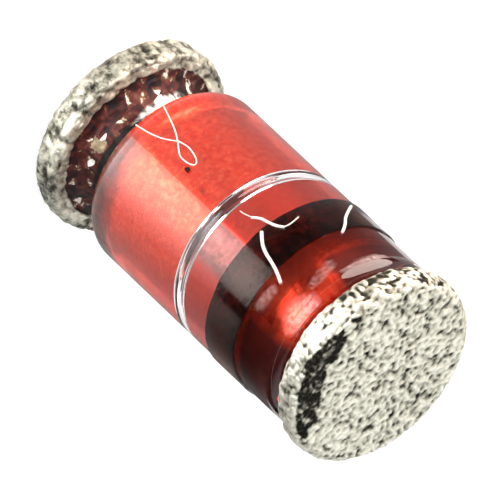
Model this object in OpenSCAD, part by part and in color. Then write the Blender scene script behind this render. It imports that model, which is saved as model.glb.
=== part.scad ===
// Zener diode in a sealed glass sleeve with tinned end terminals, for surface mounting.
// Lengths are in millimetres. The diode stands on its anode end, with its axis along +Z.

/* [Package] */
// Length over the two tinned end faces
package_l = 5.1; // [4.6:0.05:5.6]
// Diameter over the tinned terminals
terminal_d = 2.5; // [2.42:0.01:2.7]

/* [Plugs] */
// Thickness of a plug's head
head_t = 0.33; // [0.25:0.01:0.5]
// Rounding of the head's rim at the end face
head_face_r = 0.085; // [0.02:0.005:0.1]
// Rounding of the head's rim on the side of the glass
head_back_r = 0.06; // [0.02:0.005:0.1]
// Diameter of the shank that the glass is fused to
shank_d = 1.5; // [1.36:0.02:1.6]
// Fillet between the shank and the head
neck_r = 0.3; // [0.1:0.01:0.33]

/* [Tin coat] */
// Thickness of the tin on a plug's head
tin_t = 0.04; // [0.01:0.005:0.06]

/* [Glass sleeve] */
// Outer diameter of the glass
glass_d = 2.36; // [2.2:0.02:2.48]
// Bare neck between the anode terminal and the glass
anode_gap = 0.47; // [0.1:0.01:0.6]
// Slit between the cathode terminal and the glass
cathode_gap = 0.06; // [0.02:0.01:0.3]
// Rounding of the glass at the anode end
anode_end_r = 0.3; // [0.05:0.01:0.36]
// Rounding of the glass at the cathode end
cathode_end_r = 0.2; // [0.05:0.01:0.3]
// How far the melted glass is drawn in between the plug faces
bead_depth = 0.08; // [0.02:0.005:0.09]

/* [Chip] */
// Side of the square silicon chip
chip_w = 0.7; // [0.54:0.02:0.8]
// Turn of the chip about the axis, in degrees
chip_turn = 22.5; // [0:0.5:45]
// How far the chip sits off the axis, across one of its sides
chip_shift = 0.1; // [0:0.01:0.12]
// Thickness of the chip
chip_t = 0.16; // [0.14:0.01:0.25]
// Diameter of the silver contact bump on the chip's anode side
bump_d = 0.5; // [0.2:0.02:0.6]
// Height of the bump
bump_t = 0.04; // [0.03:0.005:0.08]

/* [Cathode band] */
// Width of the painted band
band_w = 0.54; // [0.3:0.02:0.8]
// Bare glass between the band and the cathode end of the sleeve
band_inset = 0.79; // [0.4:0.01:1]
// Thickness of the paint
band_t = 0.02; // [0.01:0.005:0.04]

/* [Hidden] */
$fn = 96;

// Radii
terminal_r = terminal_d / 2;
head_r = terminal_r - tin_t;
shank_r = shank_d / 2;
neck_foot_r = shank_r + neck_r;
glass_r = glass_d / 2;

// Heights along the axis, from the anode end face
terminal_t = head_t + 2 * tin_t;
face_gap = chip_t + bump_t;
plug_l = (package_l - face_gap) / 2 - tin_t;
anode_face_z = tin_t + plug_l;
cathode_face_z = anode_face_z + face_gap;
sleeve_bottom_z = terminal_t + anode_gap;
sleeve_top_z = package_l - terminal_t - cathode_gap;
band_bottom_z = sleeve_top_z - band_inset - band_w;

// The bead's arc runs from one plug face's rim to the other's
bead_r = pow(face_gap, 2) / (8 * bead_depth) + bead_depth / 2;

// Half section of a disc on the axis, with rounded rims at its bottom and top
module disc_section(r, t, bottom_r, top_r) {
    difference() {
        square([r, t]);
        translate([r - bottom_r, bottom_r]) rotate(-90) rim_cut(bottom_r);
        translate([r - top_r, t - top_r]) rim_cut(top_r);
    }
}

// What rounding takes off an outer corner that lies up and to the right of the arc's centre
module rim_cut(r) {
    difference() {
        square(2 * r);
        circle(r);
    }
}

// Half section of one plug: head, filleted neck and shank, with the head's face at height 0
module plug_section() {
    disc_section(head_r, head_t, head_face_r, head_back_r);
    square([shank_r, plug_l]);
    translate([0, head_t]) difference() {
        square([neck_foot_r, neck_r]);
        translate([neck_foot_r, neck_r]) circle(neck_r);
    }
}

module anode_plug_section() {
    translate([0, tin_t]) plug_section();
}

module cathode_plug_section() {
    translate([0, package_l]) mirror([0, 1]) anode_plug_section();
}

// Half section of the tin on one head: it wraps the rim and stops at the foot of the neck
module tin_section() {
    difference() {
        disc_section(terminal_r, terminal_t, head_face_r + tin_t, head_back_r + tin_t);
        translate([0, tin_t]) disc_section(head_r, head_t, head_face_r, head_back_r);
        translate([0, tin_t + head_t / 2]) square([neck_foot_r, terminal_t]);
    }
}

// Ridge of glass that was drawn in between the plug faces while it was soft
module bead_section() {
    intersection() {
        translate([shank_r - bead_depth + bead_r, (anode_face_z + cathode_face_z) / 2]) circle(bead_r);
        translate([0, anode_face_z]) square([shank_r + bead_depth, face_gap]);
    }
}

module glass_section() {
    difference() {
        translate([0, sleeve_bottom_z])
            disc_section(glass_r, sleeve_top_z - sleeve_bottom_z, anode_end_r, cathode_end_r);
        translate([0, anode_face_z]) square([shank_r, face_gap]);
        anode_plug_section();
        cathode_plug_section();
    }
    bead_section();
}

module glass_sleeve() {
    color([0.9, 0.93, 0.92, 0.35]) rotate_extrude() glass_section();
}

module anode_plug() {
    color([0.72, 0.2, 0.14]) rotate_extrude() anode_plug_section();
}

module cathode_plug() {
    color([0.72, 0.2, 0.14]) rotate_extrude() cathode_plug_section();
}

module anode_tin_coat() {
    color([0.78, 0.78, 0.74]) rotate_extrude() tin_section();
}

module cathode_tin_coat() {
    color([0.78, 0.78, 0.74]) translate([0, 0, package_l]) mirror([0, 0, 1]) rotate_extrude() tin_section();
}

// Puts the chip and its bump where they came to rest between the plug faces
module at_chip() {
    rotate(chip_turn) translate([chip_shift, 0, anode_face_z]) children();
}

module zener_chip() {
    color([0.3, 0.3, 0.33]) at_chip() translate([-chip_w / 2, -chip_w / 2, bump_t])
        cube([chip_w, chip_w, chip_t]);
}

module contact_bump() {
    color([0.86, 0.86, 0.84]) at_chip() cylinder(d = bump_d, h = bump_t);
}

module cathode_band() {
    color([0.07, 0.07, 0.07]) translate([0, 0, band_bottom_z]) difference() {
        cylinder(r = glass_r + band_t, h = band_w);
        translate([0, 0, -band_w / 2]) cylinder(r = glass_r, h = 2 * band_w);
    }
}

glass_sleeve();
anode_plug();
cathode_plug();
anode_tin_coat();
cathode_tin_coat();
zener_chip();
contact_bump();
cathode_band();
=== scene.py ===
import math

import bmesh
import bpy
from mathutils import Matrix, Vector, noise


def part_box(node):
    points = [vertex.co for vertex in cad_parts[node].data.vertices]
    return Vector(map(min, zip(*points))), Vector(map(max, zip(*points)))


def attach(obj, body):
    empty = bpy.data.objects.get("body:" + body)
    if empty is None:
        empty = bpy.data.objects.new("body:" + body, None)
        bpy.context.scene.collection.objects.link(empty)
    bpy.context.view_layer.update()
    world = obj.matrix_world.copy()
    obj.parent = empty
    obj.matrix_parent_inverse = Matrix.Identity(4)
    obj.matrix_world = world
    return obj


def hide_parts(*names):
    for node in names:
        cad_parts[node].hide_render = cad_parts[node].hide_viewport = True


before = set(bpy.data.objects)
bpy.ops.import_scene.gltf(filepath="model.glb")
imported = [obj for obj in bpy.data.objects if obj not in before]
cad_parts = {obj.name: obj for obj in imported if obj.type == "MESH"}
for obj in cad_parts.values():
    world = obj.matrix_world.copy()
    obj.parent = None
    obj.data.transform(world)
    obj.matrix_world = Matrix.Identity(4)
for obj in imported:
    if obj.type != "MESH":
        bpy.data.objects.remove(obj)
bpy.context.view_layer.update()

MM = 0.001

# Without a seed, noise_vector differs from run to run
SEED = 2
noise.seed_set(SEED)

# Slack for telling whether a point lies on a face or an edge
SLACK = 0.001 * MM

# Sizes of the part that a node's box doesn't give, in metres
TIN_T = 0.04 * MM
HEAD_T = 0.33 * MM
HEAD_FACE_R = 0.085 * MM
HEAD_BACK_R = 0.06 * MM
NECK_R = 0.30 * MM
SHANK_R = 0.75 * MM
ANODE_END_R = 0.30 * MM
CATHODE_END_R = 0.20 * MM
BEAD_DEPTH = 0.08 * MM

# The glass reaches this much into the plug's skin, so that the two read as fused
FUSED = 0.002 * MM

# Places that the nodes' boxes give
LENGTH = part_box("cathode_tin_coat")[1].z
TERMINAL_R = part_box("cathode_tin_coat")[1].x
TERMINAL_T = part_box("anode_tin_coat")[1].z
GLASS_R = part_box("glass_sleeve")[1].x
GLASS_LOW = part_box("glass_sleeve")[0].z
GLASS_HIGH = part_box("glass_sleeve")[1].z
ANODE_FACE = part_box("anode_plug")[1].z
CATHODE_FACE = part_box("cathode_plug")[0].z
BAND_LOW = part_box("cathode_band")[0].z
BAND_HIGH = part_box("cathode_band")[1].z
BAND_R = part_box("cathode_band")[1].x
HEAD_R = TERMINAL_R - TIN_T
NECK_FOOT_R = SHANK_R + NECK_R
HEAD_BACK = TIN_T + HEAD_T
MIDDLE = Vector((0.0, 0.0, LENGTH / 2))

# The photograph's view: the axis leans towards the camera by TILT and is turned by TURN in the picture
TILT = 0.61
TURN = 0.757
MIDDLE_PX = (250.4, 248.85)
PX_PER_M = 87.36 / MM
PICTURE_PX = 500
CAMERA_DISTANCE = 178.6 * MM
SENSOR = 36.0
CLIP_START = 0.01
CLIP_END = 10.0


def view_axes():
    """Turns the picture's right, up and towards-the-viewer into the part's frame."""
    axis = Vector((math.cos(TILT) * math.cos(TURN), -math.cos(TILT) * math.sin(TURN), math.sin(TILT)))
    side = Vector((-math.sin(TURN), -math.cos(TURN), 0.0))
    return Matrix((side, axis.cross(side), axis))


VIEW = view_axes()
CAMERA_PLACE = MIDDLE + VIEW @ Vector((0.0, 0.0, CAMERA_DISTANCE))


def add_camera():
    data = bpy.data.cameras.new("camera")
    data.sensor_width = SENSOR
    data.lens = PX_PER_M * CAMERA_DISTANCE / PICTURE_PX * SENSOR
    data.clip_start = CLIP_START
    data.clip_end = CLIP_END
    data.shift_x = (PICTURE_PX / 2 - MIDDLE_PX[0]) / PICTURE_PX
    data.shift_y = (MIDDLE_PX[1] - PICTURE_PX / 2) / PICTURE_PX
    camera = bpy.data.objects.new("camera", data)
    bpy.context.scene.collection.objects.link(camera)
    camera.matrix_world = Matrix.Translation(CAMERA_PLACE) @ VIEW.to_4x4()
    bpy.context.scene.camera = camera


def on_cylinder(pixel, radius):
    """The point of a cylinder about the axis that the camera sees at a pixel of the photograph."""
    across = (pixel[0] - MIDDLE_PX[0]) / PX_PER_M
    up = (MIDDLE_PX[1] - pixel[1]) / PX_PER_M
    ray = (VIEW @ Vector((across, up, -CAMERA_DISTANCE))).normalized()
    square = ray.x ** 2 + ray.y ** 2
    half = CAMERA_PLACE.x * ray.x + CAMERA_PLACE.y * ray.y
    rest = CAMERA_PLACE.x ** 2 + CAMERA_PLACE.y ** 2 - radius ** 2
    step = (-half - math.sqrt(max(0.0, half * half - square * rest))) / square
    return CAMERA_PLACE + ray * step


# Meshes

SEGMENTS = 256
TIN_SEGMENTS = 560
ARC_STEPS = 24
HEAD_STEPS = 8
TIN_FACE_STEPS = 14
TIN_BACK_STEPS = 11
SHARP_ANGLE = math.radians(35)

# How steep the noise is made, and how far the ridges wind
LUMP_CONTRAST = 0.95
RIDGE_CONTRAST = 1.9
RIDGE_WINDING = 0.4
WINDING_SIZE = 1.7


def arc(centre_r, centre_z, radius, start, end, steps=ARC_STEPS):
    """Points on an arc of the half section, from one angle to another in degrees."""
    points = []
    for i in range(steps + 1):
        angle = math.radians(start + (end - start) * i / steps)
        points.append((centre_r + radius * math.cos(angle), centre_z + radius * math.sin(angle)))
    return points


def close_up(points, step):
    """The same section with extra points, so that no straight stretch is longer than step."""
    filled = []
    for (r0, z0), (r1, z1) in zip(points, points[1:]):
        count = max(1, math.ceil(math.hypot(r1 - r0, z1 - z0) / step))
        for i in range(count):
            filled.append((r0 + (r1 - r0) * i / count, z0 + (z1 - z0) * i / count))
    filled.append(points[-1])
    return filled


def upside_down(section):
    """The same half section at the cathode end."""
    return [(r, LENGTH - z) for r, z in section]


def link(name, mesh):
    piece = bpy.data.objects.new(name, mesh)
    bpy.context.scene.collection.objects.link(piece)
    return piece


def lathe(name, section, segments=SEGMENTS, ring=False, shape=None, lumpy=False):
    """Turns a half section about the axis. A ring's section closes on itself, any other ends on the axis.
    shape takes a point and its outward normal, and gives the moved point and its depth: 0 where the
    surface is palest, 1 where it is darkest. A lumpy piece has no sharp edges."""
    build = bmesh.new()
    rows = []
    for r, z in section:
        if r < SLACK:
            rows.append([build.verts.new((0.0, 0.0, z))] * segments)
            continue
        turns = [2 * math.pi * k / segments for k in range(segments)]
        rows.append([build.verts.new((r * math.cos(t), r * math.sin(t), z)) for t in turns])
    pairs = list(zip(rows, rows[1:]))
    if ring:
        pairs.append((rows[-1], rows[0]))
    for low, high in pairs:
        for k in range(segments):
            j = (k + 1) % segments
            corners = tuple(dict.fromkeys((low[k], low[j], high[j], high[k])))
            if len(corners) > 2:
                build.faces.new(corners).smooth = True
    bmesh.ops.recalc_face_normals(build, faces=build.faces)
    build.normal_update()
    if shape:
        depth = build.verts.layers.float.new("depth")
        for vertex in build.verts:
            vertex.co, vertex[depth] = shape(vertex.co, vertex.normal)
    mesh = bpy.data.meshes.new(name)
    build.to_mesh(mesh)
    build.free()
    if not lumpy:
        mesh.set_sharp_from_angle(angle=SHARP_ANGLE)
    return link(name, mesh)


def between(low, high, value):
    """0 up to low, 1 from high on, and a smooth step from one to the other."""
    t = min(1.0, max(0.0, (value - low) / (high - low)))
    return t * t * (3 - 2 * t)


def front_angle(place):
    """How far a point lies round the axis from the camera's side, in radians."""
    return math.atan2(place.x, -place.y)


def from_axis(place):
    return math.hypot(place.x, place.y)


def from_end(place):
    """How far a point lies from the nearer end face."""
    return min(place.z, LENGTH - place.z)


def lumps(place, size):
    """Soft lumps, 0 in a hollow and 1 on a crest."""
    return min(1.0, max(0.0, 0.5 + LUMP_CONTRAST * noise.noise(place / size)))


def ridges(place, size):
    """Winding ridges: about 1 on the crests and 0 in the deepest pits."""
    warp = noise.noise_vector(place / (WINDING_SIZE * size)) * RIDGE_WINDING
    return 1.0 - abs(noise.noise(place / size + warp)) * RIDGE_CONTRAST


# Materials

WHITE = (1.0, 1.0, 1.0, 1.0)
GLASS_IOR = 1.53

# The ends of the glass, as shares of the part's length
MOUTH_LOW = GLASS_LOW / LENGTH
MOUTH_HIGH = GLASS_HIGH / LENGTH

# The pale facet on the bare neck: its place in the photograph, in pixels, its reach and its height
FACET_PX = (98.0, 144.0)
FACET_R = 0.10 * MM
FACET_LIFT = 0.03 * MM


class Tree:
    """A node tree, with a short way to add each kind of node that it needs."""

    def __init__(self, tree):
        self.nodes = tree.nodes
        self.links = tree.links

    def join(self, source, socket):
        """Links a socket to a source, or sets it where the source is a plain value."""
        if isinstance(source, bpy.types.NodeSocket):
            self.links.new(source, socket)
        else:
            socket.default_value = source

    def place(self):
        """The shaded point, in the part's own metres."""
        return self.nodes.new("ShaderNodeTexCoord").outputs["Object"]

    def texture(self, kind, output, size, **values):
        """A texture with about one feature per size, and with other values by socket name."""
        node = self.nodes.new(kind)
        self.links.new(self.place(), node.inputs["Vector"])
        node.inputs["Scale"].default_value = 1.0 / size
        for name, value in values.items():
            node.inputs[name].default_value = value
        return node.outputs[output]

    def grain(self, size, **values):
        return self.texture("ShaderNodeTexNoise", "Fac", size, **values)

    def attribute(self, name):
        """A number that each point of the mesh holds."""
        node = self.nodes.new("ShaderNodeAttribute")
        node.attribute_name = name
        return node.outputs["Fac"]

    def along(self, axis, low, high):
        """0 where the part's X, Y or Z is low, 1 where it is high, and even steps between."""
        split = self.nodes.new("ShaderNodeSeparateXYZ")
        self.links.new(self.place(), split.inputs[0])
        span = self.nodes.new("ShaderNodeMapRange")
        span.inputs["From Min"].default_value = low
        span.inputs["From Max"].default_value = high
        self.links.new(split.outputs[axis], span.inputs["Value"])
        return span.outputs["Result"]

    def ramp(self, source, stops):
        """Turns a number into a colour or a grey, by stops of position and colour."""
        node = self.nodes.new("ShaderNodeValToRGB")
        self.links.new(source, node.inputs["Fac"])
        elements = node.color_ramp.elements
        while len(elements) < len(stops):
            elements.new(1.0)
        for element, (position, colour) in zip(elements, stops):
            element.position = position
            shade = colour if isinstance(colour, tuple) else (colour, colour, colour)
            element.color = (*shade, 1.0)
        return node.outputs["Color"]

    def calculate(self, operation, *sources):
        node = self.nodes.new("ShaderNodeMath")
        node.operation = operation
        for source, socket in zip(sources, node.inputs):
            self.join(source, socket)
        return node.outputs[0]

    def compare(self, operation, first, second):
        """A number that comes from two vectors, such as their distance."""
        node = self.nodes.new("ShaderNodeVectorMath")
        node.operation = operation
        self.links.new(first, node.inputs[0])
        node.inputs[1].default_value = second
        return node.outputs["Value"]

    def mix(self, factor, first, second, kind="RGBA"):
        node = self.nodes.new("ShaderNodeMix")
        node.data_type = kind
        self.links.new(factor, node.inputs["Factor"])
        self.join(first, node.inputs["A"])
        self.join(second, node.inputs["B"])
        return node.outputs["Result"]

    def seen_directly(self):
        """1 for what is seen straight, mirrored or through glass, 0 for what lights a matte surface."""
        path = self.nodes.new("ShaderNodeLightPath").outputs
        seen = self.calculate("MAXIMUM", path["Is Camera Ray"], path["Is Glossy Ray"])
        seen = self.calculate("MAXIMUM", seen, path["Is Transmission Ray"])
        first = self.calculate("LESS_THAN", path["Diffuse Depth"], 0.5)
        return self.calculate("MULTIPLY", seen, first)


class Surface(Tree):
    """A new material and its shader."""

    def __init__(self, name):
        self.material = bpy.data.materials.new(name)
        self.material.use_nodes = True
        super().__init__(self.material.node_tree)
        self.shader = self.nodes["Principled BSDF"]

    def look(self, socket, source):
        self.join(source, self.shader.inputs[socket])

    def bump(self, source, distance):
        node = self.nodes.new("ShaderNodeBump")
        node.inputs["Distance"].default_value = distance
        self.links.new(source, node.inputs["Height"])
        self.look("Normal", node.outputs["Normal"])

    def choose(self, factor, first, second):
        """Shows the first shader where the factor is 0, and the second where it is 1."""
        node = self.nodes.new("ShaderNodeMixShader")
        self.links.new(factor, node.inputs["Fac"])
        self.links.new(first.outputs[0], node.inputs[1])
        self.links.new(second.outputs[0], node.inputs[2])
        self.links.new(node.outputs[0], self.nodes["Material Output"].inputs["Surface"])


def glass_material():
    glass = Surface("clear_glass")
    glass.look("Base Color", WHITE)
    glass.look("Transmission Weight", 1.0)
    glass.look("IOR", GLASS_IOR)
    smudge = glass.grain(0.6 * MM, Detail=4.0)
    glass.look("Roughness", glass.ramp(smudge, [(0.5, 0.0), (0.85, 0.06)]))
    return glass.material


def add_dull_and_grey(plug, red, height, across, grain):
    """The red oxide is duller past the chip, and a grey brown on one side there."""
    dull = plug.ramp(grain, [(0.33, (0.60, 0.018, 0.004)), (0.66, (0.72, 0.050, 0.016))])
    grey_brown_stops = [(0.33, (0.15, 0.026, 0.020)), (0.5, (0.22, 0.050, 0.040)), (0.66, (0.30, 0.092, 0.080))]
    one_side = plug.ramp(across, [(0.495, 0.0), (0.52, 1.0), (0.74, 1.0), (0.80, 0.0)])
    greyed = plug.mix(one_side, dull, plug.ramp(grain, grey_brown_stops))
    past_chip = plug.ramp(height, [(0.505, 0.0), (0.52, 1.0), (0.66, 1.0), (0.74, 0.0)])
    return plug.mix(past_chip, red, greyed)


def add_shade_and_dark_end(plug, red, height, grain):
    """A ring of painted shade on the red oxide past the band, and darker red oxide towards the cathode's end
    of the glass.
    """
    darkened = plug.ramp(grain, [(0.3, (0.20, 0.010, 0.003)), (0.7, (0.36, 0.024, 0.008))])
    shade_and_end_stops = [
        (MOUTH_HIGH - 0.13, 0.0), (MOUTH_HIGH - 0.112, 0.7), (MOUTH_HIGH - 0.095, 0.7),
        (MOUTH_HIGH - 0.078, 0.0), (MOUTH_HIGH - 0.06, 0.25), (MOUTH_HIGH - 0.03, 1.0),
    ]
    return plug.mix(plug.ramp(height, shade_and_end_stops), red, darkened)


def painted_shade_sides(plug, height, across):
    """1 on the two sides of the cathode plug, towards its head, that are painted nearly black as shade where
    the plug mirrors nothing bright.
    """
    left_heights = plug.ramp(height, [(MOUTH_HIGH - 0.192, 0.0), (MOUTH_HIGH - 0.172, 1.0)])
    left = plug.calculate("MULTIPLY", left_heights, plug.ramp(across, [(0.73, 0.0), (0.83, 1.0)]))
    right_heights = plug.ramp(height, [(MOUTH_HIGH - 0.165, 0.0), (MOUTH_HIGH - 0.125, 1.0)])
    right = plug.calculate("MULTIPLY", right_heights, plug.ramp(across, [(0.22, 1.0), (0.32, 0.0)]))
    return plug.calculate("ADD", right, left)


def add_shade_by_mouth(plug, red, height, across, grain, blotch):
    """Painted shade that greys and darkens one side of the red oxide, by the anode's mouth of the glass."""
    shade_grey = plug.ramp(grain, [(0.3, (0.18, 0.06, 0.045)), (0.7, (0.26, 0.09, 0.066))])
    ragged = plug.calculate("MULTIPLY_ADD", blotch, 0.06, height)
    by_mouth = plug.ramp(ragged, [(MOUTH_LOW + 0.045, 1.0), (MOUTH_LOW + 0.105, 0.0)])
    one_side = plug.ramp(across, [(0.42, 0.0), (0.54, 1.0)])
    return plug.mix(plug.calculate("MULTIPLY", by_mouth, one_side), red, shade_grey)


def bare_skin(plug, height, across, blotch):
    """Dark brown patches, with a silver edge, a black edge of painted shadow by the glass's end and one pale
    facet. The palest patches are white, as painted glints.
    """
    facets = plug.texture("ShaderNodeTexVoronoi", "Color", 0.13 * MM)
    # The palest tone gives white patches that stand in as painted glints
    tones = [
        (0.56, (0.003, 0.002, 0.002)), (0.70, (0.030, 0.004, 0.003)), (0.84, (0.085, 0.012, 0.008)),
        (0.92, (0.12, 0.05, 0.03)), (0.96, (0.30, 0.25, 0.16)), (1.0, (0.80, 0.78, 0.72)),
    ]
    brown = plug.ramp(plug.calculate("MULTIPLY_ADD", facets, 0.5, blotch), tones)
    silver = plug.ramp(blotch, [(0.38, (0.05, 0.045, 0.04)), (0.55, (0.72, 0.71, 0.67))])
    slope = plug.calculate("MULTIPLY_ADD", across, -0.065, height)
    bright_edge = plug.calculate(
        "MULTIPLY", plug.ramp(slope, [(0.100, 0.0), (0.104, 1.0)]),
        plug.ramp(across, [(0.36, 1.0), (0.46, 0.0)]),
    )
    brown = plug.mix(bright_edge, brown, silver)
    # A black edge next to the glass's end: painted shadow
    black = plug.ramp(blotch, [(0.3, (0.001, 0.001, 0.001)), (0.7, (0.004, 0.001, 0.001))])
    slope = plug.calculate("MULTIPLY_ADD", across, 0.047, height)
    brown = plug.mix(plug.ramp(slope, [(0.151, 0.0), (0.156, 1.0)]), brown, black)
    pale = plug.ramp(blotch, [(0.35, (0.20, 0.15, 0.08)), (0.6, (0.36, 0.29, 0.18))])
    distance = plug.compare("DISTANCE", plug.place(), on_cylinder(FACET_PX, SHANK_R + FACET_LIFT))
    ragged = plug.calculate("MULTIPLY_ADD", distance, 0.4 / FACET_R, blotch)
    return plug.mix(plug.ramp(ragged, [(0.88, 1.0), (0.94, 0.0)]), brown, pale)


def plug_material():
    """Red oxide that shines under the glass, less so by its mouth, and a dark skin on the bare neck."""
    plug = Surface("oxidised_plug")
    height = plug.along("Z", 0.0, LENGTH)
    across = plug.along("X", -SHANK_R, SHANK_R)
    grain = plug.grain(0.055 * MM, Detail=4.0, Roughness=0.6)
    blotch = plug.grain(0.12 * MM, Detail=3.0, Roughness=0.55, Distortion=0.6)
    speckle = [(0.33, (0.79, 0.026, 0.004)), (0.5, (0.88, 0.052, 0.012)), (0.66, (0.95, 0.105, 0.042))]
    red = add_dull_and_grey(plug, plug.ramp(grain, speckle), height, across, grain)
    # A ring of painted shade past the band, and darker oxide at the cathode's end of the glass
    red = add_shade_and_dark_end(plug, red, height, grain)
    # Nearly black red on those two sides: painted shade
    shade_red_stops = [
        (MOUTH_HIGH - 0.15, (0.13, 0.006, 0.002)), (MOUTH_HIGH - 0.085, (0.10, 0.005, 0.002)),
        (MOUTH_HIGH - 0.055, (0.03, 0.002, 0.001)),
    ]
    dark = painted_shade_sides(plug, height, across)
    red = plug.mix(dark, red, plug.ramp(height, shade_red_stops))
    # Painted shade by the anode's mouth of the glass
    red = add_shade_by_mouth(plug, red, height, across, grain, blotch)
    inside = [
        (MOUTH_LOW - 0.003, 0.0), (MOUTH_LOW - 0.001, 1.0), (MOUTH_HIGH - 0.004, 1.0), (MOUTH_HIGH, 0.0),
    ]
    under_glass = plug.ramp(height, inside)
    plug.look("Base Color", plug.mix(under_glass, bare_skin(plug, height, across, blotch), red))
    plug.look("Metallic", plug.ramp(under_glass, [(0.0, 0.5), (1.0, 0.84)]))
    polish = plug.ramp(height, [(MOUTH_LOW + 0.02, 0.60), (MOUTH_LOW + 0.07, 0.17)])
    plug.look("Roughness", plug.calculate("MULTIPLY_ADD", dark, 0.35, polish))
    plug.look("Coat Weight", plug.ramp(under_glass, [(0.0, 0.0), (1.0, 0.2)]))
    plug.look("Coat Roughness", 0.12)
    plug.bump(grain, 0.0016 * MM)
    return plug.material


def tin_material():
    """Matte tin: pale on the crests, greyer on the slopes and nearly black in the pits, partly dark oxide in
    the hollows and partly painted shade.
    """
    tin = Surface("rough_tin")
    grain = tin.grain(0.045 * MM, Detail=4.0, Roughness=0.6)
    level = tin.calculate("MULTIPLY_ADD", grain, -0.6, tin.attribute("depth"))
    tones = [
        (0.0, (0.82, 0.805, 0.69)), (0.22, (0.60, 0.585, 0.48)), (0.40, (0.36, 0.35, 0.28)),
        (0.50, (0.15, 0.145, 0.115)), (0.60, (0.05, 0.047, 0.037)), (0.72, (0.015, 0.015, 0.012)),
    ]
    tin.look("Base Color", tin.ramp(level, tones))
    tin.look("Metallic", tin.ramp(level, [(0.4, 0.55), (0.65, 0.1)]))
    tin.look("Specular IOR Level", tin.ramp(level, [(0.4, 0.15), (0.65, 0.0)]))
    tin.look("Roughness", 0.36)
    tin.bump(grain, 0.012 * MM)
    return tin.material


def band_material():
    """Glossy black paint, thin enough in places to let some red through."""
    paint = Surface("band_paint")
    grain = paint.grain(0.08 * MM, Detail=5.0, Roughness=0.65)
    black = [(0.3, (0.001, 0.0005, 0.0005)), (0.7, (0.004, 0.002, 0.002))]
    paint.look("Base Color", paint.ramp(grain, black))
    paint.look("Roughness", paint.ramp(grain, [(0.3, 0.02), (0.7, 0.06)]))
    paint.look("Alpha", paint.ramp(grain, [(0.38, 0.97), (0.64, 0.72)]))
    paint.bump(grain, 0.0012 * MM)
    return paint.material


def grained_material(name, size, detail, dark, pale, relief, values):
    """A grain of the given size between two tones, with a slight relief, and other values by socket name."""
    surface = Surface(name)
    grain = surface.grain(size, Detail=detail)
    surface.look("Base Color", surface.ramp(grain, [(0.3, dark), (0.7, pale)]))
    for socket, value in values.items():
        surface.look(socket, value)
    surface.bump(grain, relief)
    return surface.material


def chip_material():
    values = {"Specular IOR Level": 0.1, "Roughness": 0.45}
    dark = (0.012, 0.013, 0.014)
    pale = (0.045, 0.046, 0.05)
    return grained_material("silicon", 0.05 * MM, 4.0, dark, pale, 0.001 * MM, values)


def silver_material():
    values = {"Metallic": 1.0, "Roughness": 0.3}
    dark = (0.72, 0.71, 0.68)
    pale = (0.88, 0.87, 0.84)
    return grained_material("silver", 0.04 * MM, 4.0, dark, pale, 0.001 * MM, values)


def lint_material():
    dark = (0.70, 0.64, 0.58)
    pale = (0.92, 0.90, 0.86)
    return grained_material("lint", 0.05 * MM, 3.0, dark, pale, 0.003 * MM, {"Roughness": 0.6})


def dirt_material():
    values = {"Specular IOR Level": 0.1, "Roughness": 0.7}
    dark = (0.006, 0.004, 0.003)
    pale = (0.06, 0.022, 0.016)
    return grained_material("dirt", 0.02 * MM, 4.0, dark, pale, 0.004 * MM, values)


# Pieces

# The longest straight steps of a section
WALL_STEP = 0.04 * MM
NECK_STEP = 0.015 * MM
TIN_STEP = 0.014 * MM
BAND_STEP = 0.03 * MM

# The tin's lumps, which are coarser at the anode, and its rim, which runs from the end face to the wall.
# Lumps are lower on the end faces, and crumbs on the cathode's wall
LUMP_SIZE = 0.15 * MM
LUMP_HEIGHT = 0.024 * MM
CRUMB_SIZE = 0.058 * MM
CRUMB_HEIGHT = 0.026 * MM
CRUMB_SHIFT = Vector((0.3, 0.7, 0.2)) * MM
LUMP_LEVEL = 0.55
FACE_LUMPS = 0.4
WALL_CRUMBS = 0.5
ANODE_COARSE = 1.4
PIT_LIMIT = 0.034 * MM
RIM_START = 0.03 * MM
RIM_END = 0.12 * MM
BEAD_SIZE = 0.22 * MM
BEAD_HEIGHT = 0.06 * MM
BEAD_LEAST = 0.05

# How dark the tin is, from 0 to 1, and how far each feature of it changes that
CATHODE_TONE = 0.47
CATHODE_CRUMBS = 0.68
CATHODE_LUMPS = 0.3
WALL_LUMPS = 0.2
WALL_PALE = 0.05
# Painted shade darkens one side of the cathode's wall, its groove and its back
WALL_SIDE_SHADE = 0.35
GROOVE_SHADE = 0.50
GROOVE_SMOOTH = 0.45
BACK_SHADE = 0.8
# The anode's darker tone is painted shade; its paler back and beads are painted highlight
ANODE_SHADED_TONE = 0.69
ANODE_GRAIN = 0.24
ANODE_WALL_DARK = 0.03
ANODE_BACK_HIGHLIGHT = 0.10
BEAD_HIGHLIGHT = 0.4

# The groove along part of the cathode's rim, darkened with painted shade, with its middle and its reach as
# angles from the front
GROOVE_R = 1.115 * MM
GROOVE_INNER = 0.245 * MM
GROOVE_OUTER = 0.17 * MM
GROOVE_DEPTH = 0.034 * MM
GROOVE_MIDDLE = 0.60
GROOVE_REACH = 0.90
GROOVE_RAGGED = 0.5
GROOVE_SHALLOW = 0.12
GROOVE_DEEP = 0.55

# Where the cathode's wall turns darker with painted shade, as angles from the front
SIDE_SHADE_START = 0.05
SIDE_SHADE_END = 0.3

# Facets on the bare neck, which fade out over a short stretch below the glass
FACET_HEIGHT = 0.02 * MM
FACET_SIZE = 0.16 * MM
FACET_LEVEL = 0.6
FADE_START = GLASS_LOW - 0.10 * MM
FADE_END = GLASS_LOW - 0.02 * MM

# The swelling of the cathode plug's front, with its middle and its reach as angles from the front
SWELL_HEIGHT = 0.012 * MM
SWELL_LOW = 4.06 * MM
SWELL_HIGH = 4.42 * MM
SWELL_END = GLASS_HIGH - 0.04 * MM
SWELL_MIDDLE = 0.17
SWELL_REACH = 0.55

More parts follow.
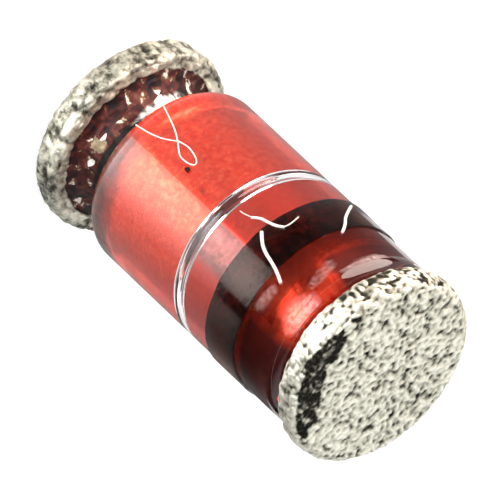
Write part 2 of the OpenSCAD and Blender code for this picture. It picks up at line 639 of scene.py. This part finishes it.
# How far the band's edges wander, in wide and in narrow waves, how many waves there are to a radius,
# and how far apart in the noise the two edges take theirs
WIDE_WANDER = 0.018 * MM
WIDE_WAVES = 2.3
NARROW_WANDER = 0.008 * MM
NARROW_WAVES = 9.0
WIDE_APART = 3.0
NARROW_APART = 5.0

# Lint on the glass: its share of the full thickness, and where it runs in the photograph, in pixels
FIBRE_R = 0.02 * MM
LOOP_FIBRE = (0.40, [
    (163.9, 106.5), (170, 119), (174, 127), (178, 141), (179, 156), (187, 163), (194.5, 166),
    (197.7, 161.4), (190.7, 148.6), (183, 143.5), (177, 140.5),
])
SIDE_FIBRE = (0.38, [(136, 125), (144, 130), (152, 134.6), (165, 139.7), (176.7, 141)])
THIN_FIBRE = (0.28, [(240, 211), (246, 215.5), (252, 217)])
BAND_FIBRE = (0.85, [(251, 217.6), (259.7, 217.6), (268.6, 222.7), (277.6, 226.5), (284, 227)])
TAIL_FIBRE = (0.40, [(283, 227), (287, 226), (293, 222), (298.6, 217)])
LOW_FIBRE = (1.0, [
    (261.6, 231.6), (261.6, 241.8), (264.8, 252), (272.4, 263.5), (277.6, 273.7), (280.7, 283.3),
])
FAR_FIBRE = (0.85, [(351, 206.5), (345, 216.3), (345.8, 224.5), (342.3, 232.3)])
FIBRES = [LOOP_FIBRE, SIDE_FIBRE, THIN_FIBRE, BAND_FIBRE, TAIL_FIBRE, LOW_FIBRE, FAR_FIBRE]
SPECK_PX = (187.5, 170.0)
SPECK_R = 0.032 * MM
SPECK_LUMP = 0.6 * SPECK_R
SPECK_ROUGHNESS = 0.5
SPECK_LIFT = 0.3 * SPECK_R


def neck_profile(inset):
    """The plug's skin from the foot of the neck to the shank, moved inwards by inset."""
    return arc(NECK_FOOT_R, HEAD_BACK + NECK_R, NECK_R + inset, 270, 180)


def glass_section():
    """The glass has two rounded ends, follows the cathode's neck and dips in between the plugs."""
    low = [(SHANK_R - FUSED, GLASS_LOW)]
    low += arc(GLASS_R - ANODE_END_R, GLASS_LOW + ANODE_END_R, ANODE_END_R, -90, 0)
    high = arc(GLASS_R - CATHODE_END_R, GLASS_HIGH - CATHODE_END_R, CATHODE_END_R, 0, 90)
    fillet = [(r, z) for r, z in upside_down(neck_profile(FUSED)) if z < GLASS_HIGH]
    rise = LENGTH - GLASS_HIGH - HEAD_BACK
    mouth_r = NECK_FOOT_R - math.sqrt((NECK_R + FUSED) ** 2 - (NECK_R - rise) ** 2)
    gap = CATHODE_FACE - ANODE_FACE
    bead_r = gap * gap / (8 * BEAD_DEPTH) + BEAD_DEPTH / 2
    half = math.degrees(math.asin(gap / 2 / bead_r))
    bead_z = (ANODE_FACE + CATHODE_FACE) / 2
    bead = arc(SHANK_R - BEAD_DEPTH + bead_r, bead_z, bead_r, 180 - half, 180 + half)
    upper = [(mouth_r, GLASS_HIGH)] + fillet + [(SHANK_R - FUSED, CATHODE_FACE)]
    return close_up(low + high + upper + bead + [(SHANK_R - FUSED, ANODE_FACE)], WALL_STEP)


def plug_section():
    head = [(0.0, TIN_T)] + arc(HEAD_R - HEAD_FACE_R, TIN_T + HEAD_FACE_R, HEAD_FACE_R, -90, 0, HEAD_STEPS)
    head += arc(HEAD_R - HEAD_BACK_R, HEAD_BACK - HEAD_BACK_R, HEAD_BACK_R, 0, 90, HEAD_STEPS)
    neck = close_up(neck_profile(0.0) + [(SHANK_R, GLASS_LOW)], NECK_STEP)
    return head + close_up(neck + [(SHANK_R, ANODE_FACE), (0.0, ANODE_FACE)], WALL_STEP)


def tin_section():
    face_r = HEAD_FACE_R + TIN_T
    back_r = HEAD_BACK_R + TIN_T
    outside = [(0.0, 0.0)] + arc(TERMINAL_R - face_r, face_r, face_r, -90, 0, TIN_FACE_STEPS)
    outside += arc(TERMINAL_R - back_r, TERMINAL_T - back_r, back_r, 0, 90, TIN_BACK_STEPS)
    outside = close_up(outside + [(NECK_FOOT_R, TERMINAL_T)], TIN_STEP)
    inner_z = HEAD_BACK - TIN_T
    return outside + [(NECK_FOOT_R, HEAD_BACK), (NECK_FOOT_R - TIN_T, inner_z), (0.0, inner_z)]


def cathode_tin(place, lump, crumb, on_wall, on_back):
    """How far the cathode's tin moves out, and its depth: the groove, the back and one side of the wall are
    darkened with painted shade.
    """
    across = from_axis(place)
    round_share = 1.0 - ((front_angle(place) - GROOVE_MIDDLE) / GROOVE_REACH) ** 2
    width = GROOVE_INNER if across < GROOVE_R else GROOVE_OUTER
    width_share = 1.0 - ((across - GROOVE_R) / width) ** 2
    groove = max(0.0, round_share) * max(0.0, width_share) * (1.0 - on_wall)
    ragged = GROOVE_RAGGED * (lump - 0.5) if groove > 0.0 else 0.0
    sunk = between(GROOVE_SHALLOW, GROOVE_DEEP, groove - ragged)
    # Painted shade on one side of the wall
    dull = between(SIDE_SHADE_START, SIDE_SHADE_END, -front_angle(place))
    depth = CATHODE_TONE + GROOVE_SHADE * sunk + BACK_SHADE * on_back
    depth += (WALL_SIDE_SHADE * dull - WALL_PALE) * on_wall
    # Darker in the hollows of crumbs and lumps: partly oxide, partly painted shade
    depth += CATHODE_CRUMBS * (1.0 - GROOVE_SMOOTH * sunk) * (0.5 - crumb)
    depth += (CATHODE_LUMPS + WALL_LUMPS * on_wall) * (0.5 - lump)
    return -GROOVE_DEPTH * groove, depth


def anode_tin(place, lump, crumb, on_wall, on_back):
    """How far the anode's tin moves out, and its depth: its tone is darker than the cathode's as painted
    shade, and its back and the beads on it are paler as painted highlight.
    """
    bead = max(0.0, noise.noise(place / BEAD_SIZE) - BEAD_LEAST) if on_back else 0.0
    depth = ANODE_SHADED_TONE + ANODE_WALL_DARK * on_wall - ANODE_BACK_HIGHLIGHT * on_back
    # Darker in the hollows of crumbs and lumps: partly oxide, partly painted shade
    depth += ANODE_GRAIN * (0.5 - crumb) + ANODE_GRAIN * (0.5 - lump)
    return BEAD_HEIGHT * bead, depth - BEAD_HIGHLIGHT * bead


def lumpy_tin(place, normal):
    """Frozen lumps on the outside of a tin coat, which are lower on the end face and only sink in there."""
    inwards = from_end(place)
    if TIN_T < inwards < TERMINAL_T - SLACK and from_axis(place) < NECK_FOOT_R + SLACK:
        return place, 0.0
    at_cathode = place.z > LENGTH / 2
    coarse = 1.0 if at_cathode else ANODE_COARSE
    lump = lumps(place, LUMP_SIZE * coarse)
    crumb = lumps(place + CRUMB_SHIFT, CRUMB_SIZE * coarse)
    on_wall = between(RIM_START, RIM_END, inwards)
    on_face = 1.0 - on_wall
    on_back = inwards > TERMINAL_T - SLACK
    level = LUMP_LEVEL + (1.0 - LUMP_LEVEL) * on_face
    lump_share = FACE_LUMPS + (1.0 - FACE_LUMPS) * on_wall
    crumb_share = WALL_CRUMBS + (1.0 - WALL_CRUMBS) * on_face if at_cathode else 1.0
    move = LUMP_HEIGHT * lump_share * (lump - level)
    move += CRUMB_HEIGHT * crumb_share * (crumb - level)
    end_tin = cathode_tin if at_cathode else anode_tin
    end_move, depth = end_tin(place, lump, crumb, on_wall, on_back)
    move += end_move
    if inwards < SLACK:
        move = min(0.0, move)
    return place + normal * max(-PIT_LIMIT, move), min(1.0, max(0.0, depth))


def rough_neck(place, normal):
    """Facets on the bare neck of the anode plug, which fade out where the glass grips it."""
    bare = from_axis(place) < NECK_FOOT_R and place.z < GLASS_LOW
    if not bare:
        return place, 0.0
    share = 1.0 - between(FADE_START, FADE_END, place.z)
    crest = ridges(place, FACET_SIZE)
    return place + normal * (FACET_HEIGHT * (crest - FACET_LEVEL) * share), 0.0


def swollen_front(place, normal):
    """The front of the cathode plug swells a little towards its head, under the glass."""
    aside = (front_angle(place) - SWELL_MIDDLE) / SWELL_REACH
    across = from_axis(place)
    if abs(aside) > 1.0 or not SHANK_R - SLACK < across < NECK_FOOT_R:
        return place, 0.0
    rise = max(0.0, min(1.0, (place.z - SWELL_LOW) / (SWELL_HIGH - SWELL_LOW)))
    fall = 1.0 - between(SWELL_HIGH, SWELL_END, place.z)
    out = Vector((place.x, place.y, 0.0)) / across
    return place + out * (SWELL_HEIGHT * rise ** 2 * fall * (1.0 - aside * aside) ** 2), 0.0


def band_section():
    corners = [(GLASS_R, BAND_LOW), (BAND_R, BAND_LOW), (BAND_R, BAND_HIGH), (GLASS_R, BAND_HIGH)]
    return close_up(corners, BAND_STEP)


def uneven_band(place, normal):
    """Lets the painted edges wander a little round the glass."""
    turn = Vector((place.x, place.y, 0.0)).normalized()
    middle = (BAND_LOW + BAND_HIGH) / 2
    side = (place.z - middle) / (BAND_HIGH - middle)
    wander = noise.noise(turn * WIDE_WAVES + Vector((0.0, 0.0, WIDE_APART * side))) * WIDE_WANDER
    wander += noise.noise(turn * NARROW_WAVES + Vector((0.0, 0.0, NARROW_APART * side))) * NARROW_WANDER
    return place + Vector((0.0, 0.0, wander * abs(side) ** 3)), 0.0


def carrier_r(height):
    """The outer radius of the glass, or of the band on it, at this height."""
    if BAND_LOW < height < BAND_HIGH:
        return BAND_R
    short = max(0.0, GLASS_LOW + ANODE_END_R - height)
    return GLASS_R - ANODE_END_R + math.sqrt(max(0.0, ANODE_END_R ** 2 - short ** 2))


def add_fibres():
    """Lint that lies on the glass and the band, as one mesh from a curve for each fibre."""
    curve = bpy.data.curves.new("lint_fibres", "CURVE")
    curve.dimensions = "3D"
    curve.bevel_depth = FIBRE_R
    curve.bevel_resolution = 3
    curve.use_fill_caps = True
    for share, pixels in FIBRES:
        spline = curve.splines.new("NURBS")
        spline.points.add(len(pixels) - 1)
        for point, pixel in zip(spline.points, pixels):
            height = on_cylinder(pixel, GLASS_R).z
            place = on_cylinder(pixel, carrier_r(height) + share * FIBRE_R)
            point.co = (*place, 1.0)
            point.radius = share
        spline.order_u = 3
        spline.use_endpoint_u = True
        spline.resolution_u = 6
    maker = bpy.data.objects.new("lint_maker", curve)
    bpy.context.scene.collection.objects.link(maker)
    made = maker.evaluated_get(bpy.context.evaluated_depsgraph_get())
    mesh = bpy.data.meshes.new_from_object(made)
    bpy.data.objects.remove(maker)
    fibres = link("lint_fibres", mesh)
    fibres.data.materials.clear()
    fibres.data.materials.append(lint_material())
    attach(fibres, "root")


def add_speck():
    """A dark crumb of dirt on the glass beside the looped fibre."""
    build = bmesh.new()
    bmesh.ops.create_icosphere(build, subdivisions=4, radius=SPECK_R)
    for vertex in build.verts:
        vertex.co *= 1.0 + SPECK_ROUGHNESS * noise.noise(vertex.co / SPECK_LUMP)
    mesh = bpy.data.meshes.new("dirt_speck")
    build.to_mesh(mesh)
    build.free()
    speck = link("dirt_speck", mesh)
    speck.location = on_cylinder(SPECK_PX, GLASS_R + SPECK_LIFT)
    speck.data.materials.append(dirt_material())
    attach(speck, "root")


def stand_for(piece, node, material):
    piece.data.materials.append(material)
    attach(piece, "root")
    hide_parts(node)


def add_tin(name, section, node, material):
    skin = lathe(name, section, segments=TIN_SEGMENTS, shape=lumpy_tin, lumpy=True)
    stand_for(skin, node, material)


def build_pieces():
    plug = plug_material()
    tin = tin_material()
    glass = lathe("glass_sleeve_shell", glass_section(), ring=True)
    stand_for(glass, "glass_sleeve", glass_material())
    anode = lathe("anode_plug_body", plug_section(), shape=rough_neck)
    stand_for(anode, "anode_plug", plug)
    cathode = lathe("cathode_plug_body", upside_down(plug_section()), shape=swollen_front)
    stand_for(cathode, "cathode_plug", plug)
    add_tin("anode_tin_skin", tin_section(), "anode_tin_coat", tin)
    add_tin("cathode_tin_skin", upside_down(tin_section()), "cathode_tin_coat", tin)
    band = lathe("cathode_band_paint", band_section(), ring=True, shape=uneven_band)
    stand_for(band, "cathode_band", band_material())
    for node, material in (("zener_chip", chip_material()), ("contact_bump", silver_material())):
        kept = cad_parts[node]
        kept.data.materials.clear()
        kept.data.materials.append(material)
    add_fibres()
    add_speck()


# Studio

# The world's even fill, and the side on which mirrors show it bright
WORLD_FILL = 0.22
SKY_SIDE = (0.0, 0.82, 0.57)
SKY_DARK = 0.06

# The floor: half its width, its grey as a source of light, and how much of what is seen of it takes shadow
FLOOR_REACH = 0.6
FLOOR_GREY = 0.6
FLOOR_SHADOW = 0.15
FLOOR_LIFT = 3.0

# How strongly the glass bends light across the axis: its index for rays that slant by TILT
GLASS_BEND = 1.74

# Pads of light lie just above the floor, and the blots just above the pads
PAD_LIFT = 0.03 * MM
BLOT_LIFT = 0.045 * MM
PAD_STEP = 0.02
BLOT_STEP = 0.01
BLOT_ROWS = 20
BLOT_SOFT = 0.3
BAND_ROWS = 30
PAD_WHITE = (1.0, 1.0, 1.0)
PAD_WARM = (1.0, 0.78, 0.70)

# How far the light is mottled, as a share of its glow
MOTTLE_SIZE = 0.045 * MM
BAND_MOTTLE = 0.45
SPOT_MOTTLE = 0.65
BLOT_MOTTLE = 0.60
SCREEN_MOTTLE = 0.50

# Heights whose mirrored places on the floor bound the pads. The last two lie past the end of the glass
PAD_LOW = 0.5 * MM
BAND_PAD_LOW = 3.28 * MM
END_PAD_HIGH = 4.66 * MM
FAR_PAD_HIGH = 40 * MM

# The pad that the plugs mirror lies between two distances and fades outwards
BODY_NEAR = 0.3 * MM
BODY_FAR = 4.68 * MM
BODY_FADE = 0.62

# Stops of the pads: an angle from the front and a glow
BODY = [
    (-1.12, 0.4), (-1.0, 0.55), (-0.7, 0.88), (-0.45, 0.95), (-0.30, 0.9), (-0.18, 1.15), (-0.01, 1.15),
    (0.0, 4.0), (0.06, 5.6), (0.12, 5.9), (0.18, 5.4), (0.27, 4.7), (0.36, 2.8), (0.45, 1.35), (0.54, 1.1),
    (0.63, 1.0), (0.9, 0.65), (1.12, 0.45),
]
OVER_BAND = [
    (-1.3, 0.5), (-1.0, 0.3), (-0.7, 0.25), (-0.5, 0.03), (0.0, 0.03), (0.02, 3.2), (0.09, 4.2),
    (0.18, 5.6), (0.27, 5.6), (0.36, 4.6), (0.43, 2.6), (0.45, 0.08), (0.56, 0.08), (0.60, 1.1),
    (0.75, 0.7), (0.9, 0.3), (1.1, 0.3), (1.3, 0.5), (1.5, 0.2),
]
PAST_BAND = [
    (-1.3, 0.3), (-1.0, 0.2), (-0.6, 0.10), (-0.02, 0.12), (0.3, 0.08), (0.45, 0.03), (0.9, 0.03),
    (1.1, 0.08), (1.3, 0.2), (1.5, 0.1),
]
LEFT_SIDE = [(1.14, 0.5), (1.2, 0.3), (1.5, 0.3)]
RIGHT_SIDE = [(-1.14, 0.6), (-1.2, 0.45), (-1.5, 0.45)]
FAR_FLOOR = [(-1.0, 0.05), (1.2, 0.03)]

# Blots of light on the glass past the band. Each stop is an angle, two heights in millimetres and a glow
EDGE = [
    (0.07, 3.90, 4.00, 0.0), (0.13, 3.88, 4.05, 4.5), (0.25, 3.85, 4.05, 4.5), (0.36, 3.85, 4.02, 3.2),
    (0.42, 3.87, 3.97, 0.0),
]
BAR = [
    (-0.09, 4.29, 4.36, 0.0), (-0.14, 4.25, 4.41, 2.8), (-0.28, 4.19, 4.41, 3.2), (-0.43, 4.14, 4.36, 3.4),
    (-0.51, 4.16, 4.30, 0.0),
]
CRESCENT = [
    (-0.43, 4.43, 4.45, 0.0), (-0.48, 4.42, 4.45, 5.0), (-0.56, 4.38, 4.46, 7.0), (-0.65, 4.34, 4.46, 7.5),
    (-0.77, 4.33, 4.46, 7.5), (-0.92, 4.34, 4.46, 6.5), (-0.98, 4.40, 4.46, 4.0), (-1.03, 4.43, 4.45, 0.0),
]
CRESCENT_BEYOND = 6.0

# The hot spot beside the cathode terminal: angles, heights in millimetres and its glow
SPOT_START = -0.16
SPOT_SPAN = 0.62
SPOT_COLUMNS = 60
SPOT_FADE = 0.17
SPOT_END = 0.40
SPOT_MIDDLE = 0.13
SPOT_BEND = 2.0
SPOT_LOW = 4.22
SPOT_HIGH = 4.46
SPOT_HEIGHTS = [4.13 + 0.012 * j for j in range(36)] + [5.0, 7.0, 9.0]
SPOT_GLOW = 6.0

# The screen bends in over the part. Its stops are an angle from the front and a glow
SCREEN_AWAY = 14 * MM
SCREEN_RISES = [math.radians(rise) for rise in range(-16, 45, 6)]
SCREEN_GLOW = 7.0
SCREEN = [(-0.24, 0.0), (-0.05, SCREEN_GLOW), (0.40, SCREEN_GLOW), (0.72, 0.0)]


def add_world():
    """White to the camera, an even fill on matte surfaces, and in mirrors bright only on one side."""
    world = bpy.data.worlds.new("studio")
    bpy.context.scene.world = world
    world.use_nodes = True
    tree = Tree(world.node_tree)
    direction = tree.nodes.new("ShaderNodeTexCoord").outputs["Generated"]
    towards = tree.compare("DOT_PRODUCT", direction, SKY_SIDE)
    sky = tree.ramp(towards, [(0.0, SKY_DARK), (0.35, 1.0)])
    straight = tree.nodes.new("ShaderNodeLightPath").outputs["Is Camera Ray"]
    shown = tree.calculate("MAXIMUM", straight, sky)
    background = tree.nodes["Background"]
    background.inputs["Color"].default_value = WHITE
    level = tree.mix(tree.seen_directly(), WORLD_FILL, shown, kind="FLOAT")
    tree.links.new(level, background.inputs["Strength"])


def add_floor():
    """A pale floor that keeps the part's shadow. It lights the part as a plain grey one would."""
    floor = Surface("pale_floor")
    floor.look("Base Color", (FLOOR_GREY, FLOOR_GREY, FLOOR_GREY, 1.0))
    floor.look("Roughness", 1.0)
    floor.look("Specular IOR Level", 0.0)
    pale = floor.nodes.new("ShaderNodeEmission")
    pale.inputs["Strength"].default_value = 1.0 - FLOOR_SHADOW
    matte = floor.nodes.new("ShaderNodeBsdfDiffuse")
    share = FLOOR_SHADOW * FLOOR_LIFT
    matte.inputs["Color"].default_value = (share, share, share, 1.0)
    shown = floor.nodes.new("ShaderNodeAddShader")
    floor.links.new(pale.outputs[0], shown.inputs[0])
    floor.links.new(matte.outputs[0], shown.inputs[1])
    floor.choose(floor.seen_directly(), floor.shader, shown)
    near = -FLOOR_REACH
    far = FLOOR_REACH
    corners = [(near, near, 0.0), (far, near, 0.0), (far, far, 0.0), (near, far, 0.0)]
    mesh = bpy.data.meshes.new("floor")
    mesh.from_pydata(corners, [], [range(len(corners))])
    panel = link("floor", mesh)
    panel.data.materials.append(floor.material)


def glow_material(name, colour):
    """Shines from its front only, as strongly as the mesh's glow attribute says."""
    pad = Surface(name)
    pad.nodes.remove(pad.shader)
    glow = pad.nodes.new("ShaderNodeEmission")
    glow.inputs["Color"].default_value = (*colour, 1.0)
    pad.links.new(pad.attribute("glow"), glow.inputs["Strength"])
    clear = pad.nodes.new("ShaderNodeBsdfTransparent")
    behind = pad.nodes.new("ShaderNodeNewGeometry").outputs["Backfacing"]
    pad.choose(behind, glow, clear)
    return pad.material


def plug_mirrors(angle, distance):
    """The place on the floor, at this distance, that the plug mirrors under the glass at this angle."""
    offset = math.sin(angle)
    bent = math.asin(offset / GLASS_BEND)
    struck = math.asin(max(-1.0, min(1.0, offset * GLASS_R / (GLASS_BEND * SHANK_R))))
    foot = angle + struck - bent
    leave = 2 * foot - angle
    x = GLASS_R * math.sin(leave) + distance * math.sin(2 * foot)
    y = -GLASS_R * math.cos(leave) - distance * math.cos(2 * foot)
    return (x, y, PAD_LIFT)


def glass_mirrors(angle, height, lift=PAD_LIFT):
    """The place on the floor that the glass's own surface mirrors at this angle and this height."""
    distance = height / math.tan(TILT)
    x = GLASS_R * math.sin(angle) + distance * math.sin(2 * angle)
    y = -GLASS_R * math.cos(angle) - distance * math.cos(2 * angle)
    return (x, y, lift)


def mottle(angle, height, contrast):
    """Uneven light, about 1, by the place on the glass that mirrors it."""
    return 1.0 + contrast * (2.0 * lumps(Vector((GLASS_R * angle, height, 0.0)), MOTTLE_SIZE) - 1.0)


def in_steps(stops, longest):
    """Points along straight stretches between stops, with no step in the first value longer than longest."""
    points = [stops[0]]
    for first, second in zip(stops, stops[1:]):
        count = math.ceil(abs(second[0] - first[0]) / longest)
        for i in range(1, count + 1):
            points.append([a + (b - a) * i / count for a, b in zip(first, second)])
    return points


def add_sheet(name, rows, material, facing=Vector((0.0, 0.0, 1.0))):
    """A sheet from rows of points, each with its glow, whose first patch faces the given way.
    Mirrors and glass show it, but the camera doesn't see it straight and it casts no shadow."""
    wide = len(rows[0])
    starts = [i * wide + j for i in range(len(rows) - 1) for j in range(wide - 1)]
    places = [place for row in rows for place, glow in row]
    levels = [glow for row in rows for place, glow in row]
    mesh = bpy.data.meshes.new(name)
    mesh.from_pydata(places, [], [(i, i + wide, i + wide + 1, i + 1) for i in starts])
    mesh.attributes.new("glow", "FLOAT", "POINT").data.foreach_set("value", levels)
    if mesh.polygons[0].normal.dot(facing) < 0:
        mesh.flip_normals()
    sheet = link(name, mesh)
    sheet.data.materials.append(material)
    sheet.visible_camera = False
    sheet.visible_shadow = False
    return sheet


def add_plug_pad(name, stops, near, far, fade, material):
    """A pad that the plugs mirror, between two distances, with a glow that fades outwards."""
    rows = []
    for angle, glow in in_steps(stops, PAD_STEP):
        rows.append([(plug_mirrors(angle, near), glow), (plug_mirrors(angle, far), glow * fade)])
    add_sheet(name, rows, material)


def add_glass_pad(name, stops, low, high, material, uneven=0.0):
    """A pad that the glass mirrors between two heights."""
    count = BAND_ROWS if uneven else 1
    rows = []
    for angle, glow in in_steps(stops, BLOT_STEP if uneven else PAD_STEP):
        row = []
        for i in range(count + 1):
            height = low + (high - low) * i / count
            level = glow * mottle(angle, height, uneven)
            row.append((glass_mirrors(angle, height), level))
        rows.append(row)
    add_sheet(name, rows, material)


def add_spot(material):
    """A mottled spot with soft edges, which the glass mirrors beside the cathode terminal."""
    rows = []
    for i in range(SPOT_COLUMNS + 1):
        angle = SPOT_START + SPOT_SPAN * i / SPOT_COLUMNS
        wide = between(SPOT_START, 0.0, angle) * (1.0 - between(SPOT_FADE, SPOT_END, angle))
        rise = SPOT_BEND * (angle - SPOT_MIDDLE) ** 2
        row = []
        for height in SPOT_HEIGHTS:
            glow = SPOT_GLOW * wide * between(SPOT_LOW + rise, SPOT_HIGH + rise, height)
            level = glow * mottle(angle, height * MM, SPOT_MOTTLE)
            row.append((glass_mirrors(angle, height * MM, BLOT_LIFT), level))
        rows.append(row)
    add_sheet("spot_pad", rows, material)


def add_blot(name, stops, material, beyond=None):
    """A mottled blot with soft edges, which the glass mirrors. With a height beyond, in millimetres,
    it goes on to there without an upper edge, so that the rounded end of the glass mirrors it too."""
    rows = []
    for angle, low, high, glow in in_steps(stops, BLOT_STEP):
        row = []
        for i in range(BLOT_ROWS + 1):
            share = i / BLOT_ROWS
            height = low + (high - low) * share
            soft = between(0.0, 1.0, share)
            if not beyond:
                soft = between(0.0, BLOT_SOFT, share) - between(1.0 - BLOT_SOFT, 1.0, share)
            level = glow * soft * mottle(angle, height * MM, BLOT_MOTTLE)
            row.append((glass_mirrors(angle, height * MM, BLOT_LIFT), level))
        if beyond:
            row.append((glass_mirrors(angle, beyond * MM, BLOT_LIFT), glow))
        rows.append(row)
    add_sheet(name, rows, material)


def add_screen(material):
    """A bright screen before the part that bends in over it and fades at its sides."""
    rows = []
    for azimuth, glow in in_steps(SCREEN, PAD_STEP):
        row = []
        for rise in SCREEN_RISES:
            away = SCREEN_AWAY * math.cos(rise)
            height = GLASS_HIGH + SCREEN_AWAY * math.sin(rise)
            mirrored = CATHODE_END_R * math.sin((rise + TILT) / 2)
            level = glow * mottle(azimuth / 2, GLASS_HIGH + mirrored, SCREEN_MOTTLE)
            row.append(((away * math.sin(azimuth), -away * math.cos(azimuth), height), level))
        rows.append(row)
    screen = add_sheet("softbox", rows, material, facing=Vector((0.0, 1.0, 0.0)))
    screen.visible_diffuse = False


def add_cards():
    """Pads on the floor and a screen in front, which the glass and the plugs mirror."""
    white = glow_material("light_pad", PAD_WHITE)
    warm = glow_material("warm_pad", PAD_WARM)
    add_plug_pad("body_pad", BODY, BODY_NEAR, BODY_FAR, BODY_FADE, white)
    add_glass_pad("band_pad", OVER_BAND, BAND_PAD_LOW, BAND_HIGH, warm, uneven=BAND_MOTTLE)
    add_glass_pad("end_pad", PAST_BAND, BAND_HIGH, END_PAD_HIGH, white)
    add_glass_pad("left_pad", LEFT_SIDE, PAD_LOW, BAND_PAD_LOW, white)
    add_glass_pad("right_pad", RIGHT_SIDE, PAD_LOW, BAND_PAD_LOW, white)
    add_glass_pad("far_pad", FAR_FLOOR, END_PAD_HIGH, FAR_PAD_HIGH, white)
    add_screen(white)
    add_spot(white)
    add_blot("edge_pad", EDGE, warm)
    add_blot("bar_pad", BAR, warm)
    add_blot("crescent_pad", CRESCENT, warm, beyond=CRESCENT_BEYOND)


def add_lamp(name, direction, distance, size, energy):
    """A soft round lamp, with its direction given in the picture: right, up, towards the viewer."""
    data = bpy.data.lights.new(name, "AREA")
    data.energy = energy
    data.size = size
    data.shape = "DISK"
    lamp = bpy.data.objects.new(name, data)
    bpy.context.scene.collection.objects.link(lamp)
    towards = (VIEW @ Vector(direction)).normalized()
    lamp.location = MIDDLE + towards * distance
    lamp.rotation_mode = "QUATERNION"
    lamp.rotation_quaternion = towards.to_track_quat("Z", "Y")
    lamp.visible_camera = False
    return data


def add_lamps():
    """A key from the left, a warm lamp close by at the upper right and a wide one at the lower right."""
    add_lamp("key_lamp", (-0.47, -0.07, 0.88), distance=60 * MM, size=16 * MM, energy=0.018)
    side = add_lamp("side_lamp", (0.59, 0.72, 0.35), distance=9.5 * MM, size=10.5 * MM, energy=0.0024)
    side.diffuse_factor = 0.3
    side.color = (1.0, 0.86, 0.78)
    add_lamp("back_lamp", (0.73, -0.69, -0.03), distance=60 * MM, size=40 * MM, energy=0.006)


add_camera()
build_pieces()
add_world()
add_floor()
add_cards()
add_lamps()

scene = bpy.context.scene
scene.view_settings.view_transform = "Standard"
